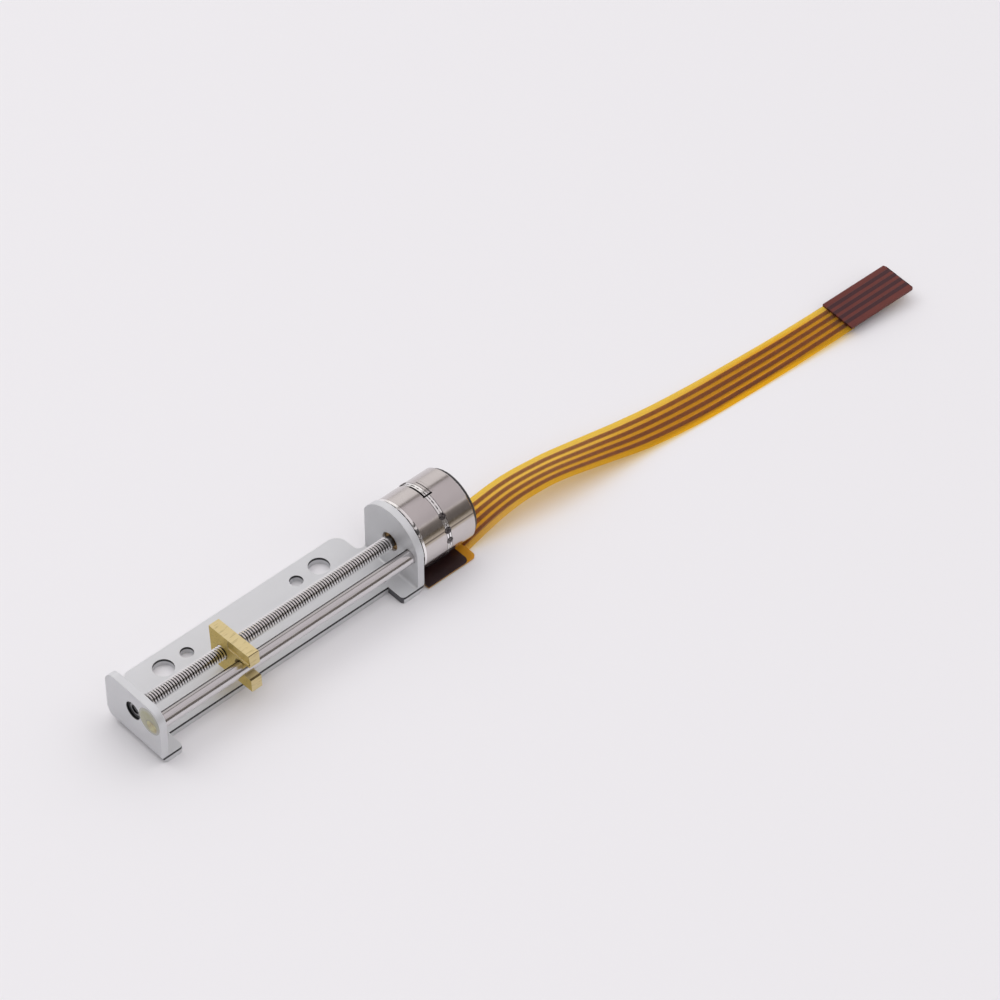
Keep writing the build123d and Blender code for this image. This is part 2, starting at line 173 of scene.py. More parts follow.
def colour_mix(tree, factor, first, second):
    """Mixes two colours. Each is a tuple or a socket."""
    node = tree.nodes.new("ShaderNodeMix")
    node.data_type = "RGBA"
    if isinstance(factor, (int, float)):
        node.inputs[0].default_value = factor
    else:
        tree.links.new(factor, node.inputs[0])
    for place, value in ((6, first), (7, second)):
        if isinstance(value, tuple):
            node.inputs[place].default_value = (*value, 1)
        else:
            tree.links.new(value, node.inputs[place])
    return node.outputs[2]


def noise(tree, scale, detail=2.0, stretch=(1, 1, 1), rotation=(0, 0, 0)):
    """Noise on the piece's own coordinates, in features per metre."""
    place = tree.nodes.new("ShaderNodeTexCoord")
    mapping = tree.nodes.new("ShaderNodeMapping")
    mapping.inputs["Scale"].default_value = stretch
    mapping.inputs["Rotation"].default_value = rotation
    texture = tree.nodes.new("ShaderNodeTexNoise")
    texture.inputs["Scale"].default_value = scale
    texture.inputs["Detail"].default_value = detail
    tree.links.new(place.outputs["Object"], mapping.inputs[0])
    tree.links.new(mapping.outputs[0], texture.inputs[0])
    return texture.outputs[0]


def span(tree, value, low, high, to_low, to_high):
    node = tree.nodes.new("ShaderNodeMapRange")
    node.inputs[1].default_value = low
    node.inputs[2].default_value = high
    node.inputs[3].default_value = to_low
    node.inputs[4].default_value = to_high
    tree.links.new(value, node.inputs[0])
    return node.outputs[0]


def raise_by(tree, shader, height, distance, edge=0.0):
    """Bumps the surface by a height. edge softens the piece's sharp corners."""
    bump = tree.nodes.new("ShaderNodeBump")
    bump.inputs["Distance"].default_value = distance
    tree.links.new(height, bump.inputs["Height"])
    if edge > 0:
        soft = tree.nodes.new("ShaderNodeBevel")
        soft.samples = 4
        soft.inputs["Radius"].default_value = edge
        tree.links.new(soft.outputs[0], bump.inputs["Normal"])
    tree.links.new(bump.outputs[0], shader.inputs["Normal"])


ribbon_width = 0.0045
ribbon_thickness = 0.0001
ribbon_points = [
    (0.02244, -0.00085, 0.00015),
    (0.02744, -0.00100, 0.00190),
    (0.03324, -0.00165, 0.00255),
    (0.03944, -0.00238, 0.00165),
    (0.04544, -0.00310, 0.00070),
    (0.05224, -0.00380, 0.00040),
    (0.05944, -0.00415, 0.00026),
    (0.06624, -0.00450, 0.00028),
    (0.07214, -0.00490, 0.00070),
]
ribbon_twist = [(0.0224, 0), (0.0270, 6), (0.0332, 8), (0.0394, 2), (0.0454, -5), (0.0522, -7), (0.0594, -4),
                (0.0662, 0), (0.0725, 2)]
ribbon_curve = bpy.data.curves.new("ribbon_line", "CURVE")
ribbon_curve.dimensions = "3D"
ribbon_curve.resolution_u = 16
ribbon_spline = ribbon_curve.splines.new("NURBS")
ribbon_spline.points.add(len(ribbon_points) - 1)
for point, place in zip(ribbon_spline.points, ribbon_points):
    point.co = (*place, 1)
ribbon_spline.order_u = 3
ribbon_spline.use_endpoint_u = True
ribbon_line = bpy.data.objects.new("ribbon_line", ribbon_curve)
bpy.context.collection.objects.link(ribbon_line)
bpy.context.view_layer.update()
line_mesh = bpy.data.meshes.new_from_object(ribbon_line)
ribbon_path = [vertex.co.copy() for vertex in line_mesh.vertices]
bpy.data.objects.remove(ribbon_line)

across_steps = 10
corners = []
corner_uv = []
for number, place in enumerate(ribbon_path):
    before = ribbon_path[max(number - 1, 0)]
    after = ribbon_path[min(number + 1, len(ribbon_path) - 1)]
    ahead = (after - before).normalized()
    level = Vector((-ahead.y, ahead.x, 0)).normalized()
    for (low, low_turn), (high, high_turn) in zip(ribbon_twist, ribbon_twist[1:]):
        if low <= place.x <= high:
            turn = low_turn + (high_turn - low_turn) * (place.x - low) / (high - low)
    level = Matrix.Rotation(math.radians(-turn), 3, ahead) @ level
    up = ahead.cross(level)
    along = number / (len(ribbon_path) - 1)
    for side in (0.5, -0.5):
        for step in range(across_steps + 1):
            share = step / across_steps
            corners.append(place + level * ribbon_width * (share - 0.5) + up * ribbon_thickness * side)
            corner_uv.append((along, share))
ring = 2 * (across_steps + 1)
faces = []
for number in range(len(ribbon_path) - 1):
    first = number * ring
    for step in range(across_steps):
        top = first + step
        bottom = top + across_steps + 1
        faces.append((top, top + ring, top + ring + 1, top + 1))
        faces.append((bottom, bottom + 1, bottom + ring + 1, bottom + ring))
    for step, turned in ((0, True), (across_steps, False)):
        top = first + step
        bottom = top + across_steps + 1
        wall = (top, bottom, bottom + ring, top + ring)
        faces.append(wall if turned else wall[::-1])
for first, turned in ((0, False), ((len(ribbon_path) - 1) * ring, True)):
    for step in range(across_steps):
        top = first + step
        bottom = top + across_steps + 1
        wall = (top, top + 1, bottom + 1, bottom)
        faces.append(wall if turned else wall[::-1])
ribbon_mesh = bpy.data.meshes.new("cable_ribbon")
ribbon_mesh.from_pydata(corners, [], faces)
ribbon_map = ribbon_mesh.uv_layers.new(name="UVMap")
for loop in ribbon_mesh.loops:
    ribbon_map.data[loop.index].uv = corner_uv[loop.vertex_index]
ribbon_mesh.validate()
ribbon_mesh.update()
ribbon = bpy.data.objects.new("cable_ribbon", ribbon_mesh)
bpy.context.collection.objects.link(ribbon)
bpy.ops.object.select_all(action="DESELECT")
ribbon.select_set(True)
bpy.context.view_layer.objects.active = ribbon
bpy.ops.object.mode_set(mode="EDIT")
bpy.ops.mesh.select_all(action="SELECT")
bpy.ops.mesh.normals_make_consistent(inside=False)
bpy.ops.object.mode_set(mode="OBJECT")
bpy.ops.object.shade_smooth_by_angle(angle=math.radians(40))

track_colour = (0.13, 0.062, 0.030)
film_colour = (0.86, 0.62, 0.020)


def tracks(tree, share):
    """1 on the four tracks and 0 between them, from the share of the ribbon's width."""
    pitches = math_node(tree, "MULTIPLY", share, 5.0)
    moved = math_node(tree, "ADD", pitches, 0.5)
    part = math_node(tree, "FRACT", moved)
    off_middle = math_node(tree, "ABSOLUTE", math_node(tree, "SUBTRACT", part, 0.5))
    on_track = span(tree, off_middle, 0.30, 0.24, 0.0, 1.0)
    inside = math_node(tree, "ABSOLUTE", math_node(tree, "SUBTRACT", share, 0.5))
    return math_node(tree, "MULTIPLY", on_track, math_node(tree, "LESS_THAN", inside, 0.42))


def clear_through(tree, shader, colour, share):
    """Lets part of the light straight through a clear film, tinted in its colour."""
    through = tree.nodes.new("ShaderNodeBsdfTransparent")
    if isinstance(colour, tuple):
        through.inputs[0].default_value = (*colour, 1)
    else:
        tree.links.new(colour, through.inputs[0])
    both = tree.nodes.new("ShaderNodeMixShader")
    if isinstance(share, float):
        both.inputs[0].default_value = share
    else:
        tree.links.new(share, both.inputs[0])
    tree.links.new(shader.outputs[0], both.inputs[1])
    tree.links.new(through.outputs[0], both.inputs[2])
    tree.links.new(both.outputs[0], tree.nodes["Material Output"].inputs[0])


ribbon_film, tree, shader = material("ribbon_film")
ribbon_uv = tree.nodes.new("ShaderNodeUVMap")
ribbon_uv.uv_map = "UVMap"
ribbon_split = tree.nodes.new("ShaderNodeSeparateXYZ")
tree.links.new(ribbon_uv.outputs[0], ribbon_split.inputs[0])
track_mask = tracks(tree, ribbon_split.outputs["Y"])
cloud = noise(tree, 900.0, 3.0)
edge_side = math_node(tree, "ABSOLUTE", math_node(tree, "SUBTRACT", ribbon_split.outputs["Y"], 0.5))
between = colour_mix(tree, cloud, (0.84, 0.48, 0.050), (0.90, 0.56, 0.09))
film = colour_mix(tree, span(tree, edge_side, 0.36, 0.42, 0.0, 1.0), between, film_colour)
ribbon_paint = colour_mix(tree, track_mask, film, track_colour)
glare = math_node(tree, "MULTIPLY", span(tree, ribbon_split.outputs["X"], 0.05, 0.16, 1.0, 0.0),
                  span(tree, ribbon_split.outputs["Y"], 0.10, 0.17, 1.0, 0.0))
ribbon_paint = colour_mix(tree, math_node(tree, "MULTIPLY", glare, 0.8), ribbon_paint, (0.95, 0.86, 0.55))
tree.links.new(ribbon_paint, shader.inputs["Base Color"])
tree.links.new(span(tree, cloud, 0.3, 0.7, 0.22, 0.36), shader.inputs["Roughness"])
shader.inputs["Specular IOR Level"].default_value = 0.35
raise_by(tree, shader, track_mask, 0.00002)
clear_through(tree, shader, colour_mix(tree, track_mask, (1.0, 0.84, 0.36), (1.0, 0.62, 0.30)),
              span(tree, track_mask, 0.0, 1.0, 0.86, 0.45))
ribbon.data.materials.append(ribbon_film)
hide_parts("flex_ribbon")
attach(ribbon, "frame")

# The cable's end tab is the same film with a stiff reddish brown sheet glued over it. The tracks
# show through as darker stripes, and end in four gilt contacts on the underside.
tab_length = 0.0085
tab_thickness = 0.0003
tab_turn = 2
bpy.ops.object.select_all(action="DESELECT")
bpy.ops.mesh.primitive_cube_add(size=1, location=(0.5, 0, 0))
tab = bpy.context.object
tab.name = "cable_tab"
bpy.ops.object.transform_apply(location=True, rotation=True, scale=True)
tab.data.transform(Matrix.Diagonal((tab_length, ribbon_width, tab_thickness, 1)))
bpy.ops.object.mode_set(mode="EDIT")
bpy.ops.mesh.select_all(action="DESELECT")
bpy.ops.object.mode_set(mode="OBJECT")
for edge in tab.data.edges:
    ends = [tab.data.vertices[k].co for k in edge.vertices]
    edge.select = all(end.x > tab_length * 0.9 for end in ends) and abs(ends[0].y - ends[1].y) < 0.00001
bpy.ops.object.mode_set(mode="EDIT")
bpy.ops.mesh.bevel(offset=0.00022, segments=4, affect="EDGES")
bpy.ops.object.mode_set(mode="OBJECT")
tab_map = tab.data.uv_layers.new(name="tracks_map")
for loop in tab.data.loops:
    corner = tab.data.vertices[loop.vertex_index].co
    tab_map.data[loop.index].uv = (corner.x / tab_length, corner.y / ribbon_width + 0.5)
tab_ahead = (ribbon_path[-1] - ribbon_path[-2]).normalized()
tab_level = Vector((-tab_ahead.y, tab_ahead.x, 0)).normalized()
tab_level = Matrix.Rotation(math.radians(-tab_turn), 3, tab_ahead) @ tab_level
tab_up = tab_ahead.cross(tab_level)
tab_frame = Matrix((tab_ahead, tab_level, tab_up)).transposed().to_4x4()
tab_frame.translation = ribbon_path[-1] - tab_ahead * 0.0004
tab.data.transform(tab_frame @ Matrix.Translation((0, 0, 0.0002)))
bpy.ops.object.shade_smooth_by_angle(angle=math.radians(40))

tab_sheet, tree, shader = material("tab_sheet")
tab_uv = tree.nodes.new("ShaderNodeUVMap")
tab_uv.uv_map = "tracks_map"
tab_split = tree.nodes.new("ShaderNodeSeparateXYZ")
tree.links.new(tab_uv.outputs[0], tab_split.inputs[0])
tab_tracks = tracks(tree, tab_split.outputs["Y"])
blotch = noise(tree, 700.0, 3.0)
sheet_colour = colour_mix(tree, blotch, (0.105, 0.020, 0.017), (0.170, 0.036, 0.026))
track_share = math_node(tree, "MULTIPLY", tab_tracks, 0.75)
tree.links.new(colour_mix(tree, track_share, sheet_colour, (0.030, 0.010, 0.018)),
               shader.inputs["Base Color"])
tree.links.new(span(tree, blotch, 0.3, 0.7, 0.42, 0.55), shader.inputs["Roughness"])
shader.inputs["Specular IOR Level"].default_value = 0.28
raise_by(tree, shader, tab_tracks, 0.00002)
tab.data.materials.append(tab_sheet)
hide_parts("flex_tab_film", "flex_tab_backing")
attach(tab, "frame")

bpy.ops.object.select_all(action="DESELECT")
contact_places = []
for place in (-1.5, -0.5, 0.5, 1.5):
    bpy.ops.mesh.primitive_cube_add(size=1, location=(0, 0, 0))
    strip = bpy.context.object
    strip.data.transform(Matrix.Translation((tab_length - 0.0020, place * 0.0009, -0.000055))
                         @ Matrix.Diagonal((0.0034, 0.00055, 0.00004, 1)))
    contact_places.append(strip)
bpy.ops.object.select_all(action="DESELECT")
for strip in contact_places:
    strip.select_set(True)
bpy.context.view_layer.objects.active = contact_places[0]
bpy.ops.object.join()
contacts = contact_places[0]
contacts.name = "tab_contacts"
contacts.data.transform(tab_frame)
gold, tree, shader = material("gold_contacts")
grain = noise(tree, 8000.0, 3.0)
tree.links.new(colour_mix(tree, grain, (0.80, 0.56, 0.22), (0.88, 0.66, 0.30)), shader.inputs["Base Color"])
shader.inputs["Metallic"].default_value = 1.0
shader.inputs["Roughness"].default_value = 0.25
contacts.data.materials.append(gold)
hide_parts("flex_contact_1", "flex_contact_2", "flex_contact_3", "flex_contact_4")
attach(contacts, "frame")

# The bracket is one piece of 0.8 mm sheet steel, punched, bent up at both ends and zinc plated.
# A painted highlight makes its edges brighter than its faces.
screw_axis = 0.0043


def place_of(tree):
    """The piece's own X, the distance from the screw's axis and the angle round it, 90 degrees on top."""
    place = tree.nodes.new("ShaderNodeTexCoord")
    split = tree.nodes.new("ShaderNodeSeparateXYZ")
    tree.links.new(place.outputs["Object"], split.inputs[0])
    rise = math_node(tree, "SUBTRACT", split.outputs["Z"], screw_axis)
    side = split.outputs["Y"]
    square = math_node(tree, "ADD", math_node(tree, "MULTIPLY", rise, rise),
                       math_node(tree, "MULTIPLY", side, side))
    turn = math_node(tree, "MULTIPLY", math_node(tree, "ARCTAN2", rise, side), 180 / math.pi)
    return split.outputs["X"], math_node(tree, "SQRT", square), turn


def within(tree, value, low, high, soft):
    """1 where a value lies between two others, with a soft border."""
    rising = span(tree, value, low - soft, low, 0.0, 1.0)
    falling = span(tree, value, high, high + soft, 1.0, 0.0)
    return math_node(tree, "MULTIPLY", rising, falling)


def facing(tree):
    """The direction that the piece's own surface faces, as three parts."""
    place = tree.nodes.new("ShaderNodeTexCoord")
    split = tree.nodes.new("ShaderNodeSeparateXYZ")
    tree.links.new(place.outputs["Normal"], split.inputs[0])
    return split.outputs["X"], split.outputs["Y"], split.outputs["Z"]


def sharp_edges(tree, reach):
    """1 close to the piece's sharp edges and 0 on its faces."""
    soft = tree.nodes.new("ShaderNodeBevel")
    soft.samples = 4
    soft.inputs["Radius"].default_value = reach
    own = tree.nodes.new("ShaderNodeNewGeometry")
    both = tree.nodes.new("ShaderNodeVectorMath")
    both.operation = "DOT_PRODUCT"
    tree.links.new(soft.outputs[0], both.inputs[0])
    tree.links.new(own.outputs["Normal"], both.inputs[1])
    return span(tree, both.outputs["Value"], 0.90, 0.99, 1.0, 0.0)


zinc, tree, shader = material("zinc_plate")
patches = noise(tree, 350.0, 4.0)
grain = noise(tree, 9000.0, 3.0, stretch=(0.35, 1, 1))
plate = colour_mix(tree, patches, (0.685, 0.69, 0.705), (0.745, 0.75, 0.765))
# Painted highlight: the edges are mixed toward near white.
painted_edge_highlight = math_node(tree, "MULTIPLY", sharp_edges(tree, 0.00012), 0.8)
plate = colour_mix(tree, painted_edge_highlight, plate, (0.95, 0.95, 0.96))
ahead, side, up = facing(tree)
place = tree.nodes.new("ShaderNodeTexCoord")
height = tree.nodes.new("ShaderNodeSeparateXYZ")
tree.links.new(place.outputs["Object"], height.inputs[0])
# Painted shade: the upper part of the walls in the holes and of the front side edge is painted near black.
rim = math_node(tree, "MULTIPLY", within(tree, height.outputs["Z"], 0.00053, 0.00079, 0.00003),
                math_node(tree, "LESS_THAN", up, 0.5))
by_holes = math_node(tree, "MULTIPLY", within(tree, height.outputs["Y"], 0.0030, 0.0064, 0.00001),
                     within(tree, height.outputs["X"], -0.0132, 0.0136, 0.00001))
front_side = math_node(tree, "MULTIPLY", math_node(tree, "LESS_THAN", side, -0.5),
                       math_node(tree, "LESS_THAN", height.outputs["Y"], 0.0))
rim = math_node(tree, "MULTIPLY", rim, math_node(tree, "MAXIMUM", by_holes, front_side))
plate = colour_mix(tree, rim, plate, (0.022, 0.022, 0.026))
along, off_axis, turn = place_of(tree)
# Painted shade: the cut edges that face the front, low on the sheet behind the front plate, are painted dark.
low_cut_shade = math_node(tree, "MULTIPLY", math_node(tree, "LESS_THAN", ahead, -0.5),
                    within(tree, height.outputs["Z"], 0.0, 0.00080, 0.00001))
low_cut_shade = math_node(tree, "MULTIPLY", low_cut_shade, math_node(tree, "GREATER_THAN", along, -0.0165))
low_cut_shade = math_node(tree, "MULTIPLY", low_cut_shade, math_node(tree, "SUBTRACT", 1.0, by_holes))
plate = colour_mix(tree, low_cut_shade, plate, (0.10, 0.10, 0.11))
# Painted shade: the plate's hole round the bush is painted near black, less so at its mouth.
hole_wall_shade = math_node(tree, "MULTIPLY", within(tree, off_axis, 0.0, 0.00101, 0.00002),
                 span(tree, along, -0.0172, -0.0171, 0.3, 1.0))
plate = colour_mix(tree, hole_wall_shade, plate, (0.012, 0.012, 0.014))
tree.links.new(plate, shader.inputs["Base Color"])
shader.inputs["Metallic"].default_value = 0.35
tree.links.new(span(tree, grain, 0.3, 0.7, 0.36, 0.48), shader.inputs["Roughness"])
raise_by(tree, shader, grain, 0.000004, 0.00014)
dress(["bracket"], zinc)

# The front bush is pressed into the plate, of dark sintered bronze with oil on it.
dark_bush, tree, shader = material("dark_bush")
grain = noise(tree, 14000.0, 3.0)
along, off_axis, turn = place_of(tree)
metal = colour_mix(tree, grain, (0.30, 0.302, 0.315), (0.44, 0.442, 0.455))
# Painted shade: two dark rings, in the gap round the pivot and in a groove of the bush's face.
inner_ring = within(tree, off_axis, 0.00045, 0.00049, 0.00002)
outer_ring = within(tree, off_axis, 0.00074, 0.00080, 0.00003)
ring_shade = math_node(tree, "MAXIMUM", inner_ring, outer_ring)
tree.links.new(colour_mix(tree, ring_shade, metal, (0.008, 0.008, 0.009)), shader.inputs["Base Color"])
shader.inputs["Metallic"].default_value = 0.8
shader.inputs["Roughness"].default_value = 0.34
raise_by(tree, shader, ring_shade, 0.00004)
dress(["front_bush"], dark_bush)

# The lead screw is ground steel with a rolled right-hand thread, 1.5 mm across and 0.3 mm in
# pitch. The thread is swept as a helix and cut square at both ends.
thread_pitch = 0.0003
thread_crest = 0.00074
thread_root = 0.00056
thread_start = -0.01566
thread_end = 0.01464
bpy.ops.object.select_all(action="DESELECT")
bpy.ops.mesh.primitive_circle_add(vertices=4, radius=0.0001)
screw = bpy.context.object
screw.name = "threaded_screw"
bpy.ops.object.mode_set(mode="EDIT")
bpy.ops.mesh.delete(type="VERT")
bpy.ops.object.mode_set(mode="OBJECT")
thread_profile = [(0.0, thread_root), (0.05, thread_root), (0.19, thread_crest), (0.26, thread_crest),
                  (0.40, thread_root)]
screw.data.from_pydata([(share / 0.40 * thread_pitch, 0, radius) for share, radius in thread_profile],
                       [(k, k + 1) for k in range(len(thread_profile) - 1)], [])
turns = math.ceil((thread_end - thread_start) / thread_pitch) + 2
helix = screw.modifiers.new("helix", "SCREW")
helix.axis = "X"
helix.angle = 2 * math.pi
helix.screw_offset = thread_pitch
helix.iterations = turns
helix.steps = 28
helix.render_steps = 28
helix.use_merge_vertices = True
helix.merge_threshold = 0.0000002
bpy.ops.object.modifier_apply(modifier="helix")
screw.data.transform(Matrix.Translation((thread_start - thread_pitch, 0, screw_axis)))
bpy.ops.object.mode_set(mode="EDIT")
bpy.ops.mesh.select_all(action="SELECT")
bpy.ops.mesh.remove_doubles(threshold=0.000001)
bpy.ops.mesh.select_all(action="SELECT")
bpy.ops.mesh.bisect(plane_co=(thread_start, 0, 0), plane_no=(1, 0, 0), clear_inner=True, use_fill=True)
bpy.ops.mesh.select_all(action="SELECT")
bpy.ops.mesh.bisect(plane_co=(thread_end, 0, 0), plane_no=(1, 0, 0), clear_outer=True, use_fill=True)
bpy.ops.mesh.select_all(action="SELECT")
bpy.ops.mesh.normals_make_consistent(inside=False)
bpy.ops.object.mode_set(mode="OBJECT")
bpy.ops.object.shade_smooth_by_angle(angle=math.radians(35))


def add_rod(name, start, end, radius, side=0.0, height=screw_axis, vertices=48, chamfer=0.0):
    bpy.ops.object.select_all(action="DESELECT")
    bpy.ops.mesh.primitive_cylinder_add(vertices=vertices, radius=radius, depth=end - start,
                                        location=((start + end) / 2, side, height),
                                        rotation=(0, math.pi / 2, 0))
    made = bpy.context.object
    made.name = name
    bpy.ops.object.transform_apply(location=True, rotation=True, scale=True)
    if chamfer > 0:
        edge = made.modifiers.new("edge", "BEVEL")
        edge.width = chamfer
        edge.segments = 2
        edge.limit_method = "ANGLE"
        bpy.ops.object.modifier_apply(modifier="edge")
    bpy.ops.object.shade_smooth_by_angle(angle=math.radians(40))
    return made


def join(first, *others):
    bpy.ops.object.select_all(action="DESELECT")
    for piece in (first, *others):
        piece.select_set(True)
    bpy.context.view_layer.objects.active = first
    bpy.ops.object.join()
    return first


pivot = add_rod("pivot", -0.01686, thread_start + 0.0001, 0.000425, chamfer=0.00008)
shank = add_rod("shank", thread_end - 0.0001, 0.02169, 0.0006)
tail = add_rod("tail", 0.02160, 0.02232, 0.0004)
screw = join(screw, pivot, shank, tail)
rolled, tree, shader = material("rolled_steel")
grain = noise(tree, 9000.0, 3.0)
along, off_axis, turn = place_of(tree)
thread_with_painted_shade = colour_mix(tree, grain, (0.84, 0.83, 0.83), (0.95, 0.94, 0.94))
# Painted shade: the thread's roots are painted near black, and the pivot's end deep in the bush is painted
# dark.
thread_with_painted_shade = colour_mix(tree, span(tree, off_axis, 0.00057, 0.00066, 1.0, 0.0), thread_with_painted_shade, (0.020, 0.016, 0.016))
thread_with_painted_shade = colour_mix(tree, span(tree, along, -0.01672, -0.01668, 1.0, 0.0), thread_with_painted_shade, (0.085, 0.085, 0.09))
tree.links.new(thread_with_painted_shade, shader.inputs["Base Color"])
shader.inputs["Metallic"].default_value = 1.0
tree.links.new(span(tree, grain, 0.3, 0.7, 0.14, 0.24), shader.inputs["Roughness"])
screw.data.materials.clear()
screw.data.materials.append(rolled)
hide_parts("lead_screw")
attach(screw, "screw")

# The guide rod is ground and polished steel, set in the holes of both plates.
rod_side = -0.0029
rod_height = 0.0045
polished, tree, shader = material("polished_steel")
strokes = noise(tree, 7000.0, 3.0, stretch=(0.08, 1, 1))
place = tree.nodes.new("ShaderNodeTexCoord")
split = tree.nodes.new("ShaderNodeSeparateXYZ")
tree.links.new(place.outputs["Object"], split.inputs[0])
rod_turn = math_node(tree, "MULTIPLY", math_node(
    tree, "ARCTAN2", math_node(tree, "SUBTRACT", split.outputs["Z"], rod_height),
    math_node(tree, "SUBTRACT", split.outputs["Y"], rod_side)), 180 / math.pi)
rod_with_painted_bands = colour_mix(tree, strokes, (0.60, 0.58, 0.585), (0.74, 0.72, 0.725))
# Painted reflection and shade: a darker band along the rod's top and a near black band on its upper back
# side.
rod_with_painted_bands = colour_mix(tree, within(tree, rod_turn, 66, 92, 4), rod_with_painted_bands, (0.47, 0.45, 0.455))
rod_with_painted_bands = colour_mix(tree, within(tree, rod_turn, 30, 66, 3), rod_with_painted_bands, (0.055, 0.050, 0.050))
tree.links.new(rod_with_painted_bands, shader.inputs["Base Color"])
shader.inputs["Metallic"].default_value = 1.0
tree.links.new(span(tree, strokes, 0.3, 0.7, 0.14, 0.22), shader.inputs["Roughness"])
raise_by(tree, shader, strokes, 0.000004)
dress(["guide_rod"], polished)

# A drop of clear yellowish adhesive holds the rod's front end. It is domed, spreads up over the
# plate from the rod's hole and is thin and clear at its rim.
drop_radius = 0.00152
drop_height = 0.00014
drop_side = -0.00242
drop_rise = 0.00483
front_face = -0.01716
bpy.ops.object.select_all(action="DESELECT")
bpy.ops.mesh.primitive_uv_sphere_add(segments=48, ring_count=24, radius=1.0)
drop = bpy.context.object
drop.name = "adhesive_drop"
drop.data.transform(Matrix.Translation((front_face, drop_side, drop_rise))
                    @ Matrix.Diagonal((drop_height, drop_radius, drop_radius, 1)))
bpy.ops.object.shade_smooth()
glue, tree, shader = material("clear_adhesive")
cloud = noise(tree, 1800.0, 4.0)


def distance_from(tree, side, height):
    place = tree.nodes.new("ShaderNodeTexCoord")
    flat = tree.nodes.new("ShaderNodeVectorMath")
    flat.operation = "MULTIPLY"
    flat.inputs[1].default_value = (0, 1, 1)
    apart = tree.nodes.new("ShaderNodeVectorMath")
    apart.operation = "DISTANCE"
    apart.inputs[1].default_value = (0, side, height)
    tree.links.new(place.outputs["Object"], flat.inputs[0])
    tree.links.new(flat.outputs[0], apart.inputs[0])
    return apart.outputs["Value"]


from_rod = distance_from(tree, rod_side, rod_height)
from_middle = distance_from(tree, drop_side, drop_rise)
gum = colour_mix(tree, cloud, (0.33, 0.32, 0.17), (0.46, 0.45, 0.27))
over_rod = colour_mix(tree, span(tree, cloud, 0.35, 0.65, 0.0, 1.0), (0.30, 0.22, 0.075), (0.56, 0.52, 0.22))
gum = colour_mix(tree, span(tree, from_rod, 0.00066, 0.00074, 1.0, 0.0), gum, over_rod)
# Painted shade: a dark ring just outside the rod's edge, in the gap round the rod.
gum = colour_mix(tree, within(tree, from_rod, 0.00078, 0.00082, 0.00005), gum, (0.26, 0.25, 0.17))
gum = colour_mix(tree, span(tree, from_middle, 0.00110, 0.00150, 0.0, 0.8), gum, (0.50, 0.50, 0.48))
tree.links.new(gum, shader.inputs["Base Color"])
shader.inputs["Roughness"].default_value = 0.22
shader.inputs["Coat Weight"].default_value = 0.6
shader.inputs["Coat Roughness"].default_value = 0.06
raise_by(tree, shader, cloud, 0.00004)
drop.data.materials.append(glue)
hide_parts("rod_adhesive")
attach(drop, "frame")

# The slider is milled brass, a nut with a fork for the rod. Its milled faces show fine strokes.
brass, tree, shader = material("milled_brass")
strokes = noise(tree, 5200.0, 5.0, stretch=(0.16, 1, 1))
patches = noise(tree, 650.0, 3.0)
ahead, side, up = facing(tree)
# Painted light and shade: faces turned up or toward -Y get the paler brass, the other faces the deeper brass.
brass_in_shade = colour_mix(tree, patches, (0.66, 0.48, 0.105), (0.76, 0.58, 0.17))
pale = colour_mix(tree, patches, (0.70, 0.56, 0.26), (0.80, 0.67, 0.38))
lit = math_node(tree, "MAXIMUM", up, math_node(tree, "MULTIPLY", side, -1.0))
warm = colour_mix(tree, span(tree, lit, 0.3, 0.8, 0.0, 1.0), brass_in_shade, pale)
warm = colour_mix(tree, span(tree, strokes, 0.55, 0.72, 0.0, 0.5), warm, (0.30, 0.21, 0.07))
# Painted highlight: the edges are mixed toward pale brass.
painted_edge_highlight = math_node(tree, "MULTIPLY", sharp_edges(tree, 0.00008), 0.5)
warm = colour_mix(tree, painted_edge_highlight, warm, (0.92, 0.82, 0.50))
place = tree.nodes.new("ShaderNodeTexCoord")
split = tree.nodes.new("ShaderNodeSeparateXYZ")
tree.links.new(place.outputs["Object"], split.inputs[0])
# Painted shade: a dark strip along the top face by the prong's end.
corner = math_node(tree, "MULTIPLY", math_node(tree, "GREATER_THAN", up, 0.5),
                   within(tree, split.outputs["Y"], -0.00450, -0.00397, 0.00002))
warm = colour_mix(tree, corner, warm, (0.16, 0.11, 0.035))
tree.links.new(warm, shader.inputs["Base Color"])
shader.inputs["Metallic"].default_value = 0.45
tree.links.new(span(tree, strokes, 0.3, 0.7, 0.36, 0.50), shader.inputs["Roughness"])
raise_by(tree, shader, strokes, 0.000012, 0.00008)
dress(["slider"], brass)

# The motor's two cups and the yokes between them are drawn from soft iron and nickel plated.
# The cups meet at a seam, where the yokes' rims and their keys show; the rims carry a painted highlight and
# the gaps between the parts are painted shade.
nickel, tree, shader = material("nickel_plate")
patches = noise(tree, 500.0, 3.0)
fine = noise(tree, 12000.0, 2.0, stretch=(1, 0.2, 0.2))
ragged = noise(tree, 2600.0, 3.0)
along, off_axis, turn = place_of(tree)
seam = 0.01919
skin = colour_mix(tree, patches, (0.575, 0.535, 0.530), (0.66, 0.62, 0.61))
# Painted highlight: the rims at the seam and the cup's front lip are painted near white.
rim_highlight = within(tree, along, seam - 0.00027, seam + 0.00027, 0.00002)
lip_highlight = within(tree, along, 0.01592, 0.01618, 0.00003)
# Painted reflection: a khaki band with a darker line in it, along the cups' side facing -Y.
skin = colour_mix(tree, within(tree, turn, 149, 160, 3), skin, (0.47, 0.41, 0.33))
skin = colour_mix(tree, within(tree, turn, 156.6, 158.4, 0.5), skin, (0.20, 0.165, 0.14))
skin = colour_mix(tree, math_node(tree, "MAXIMUM", rim_highlight, lip_highlight), skin, (0.97, 0.95, 0.94))
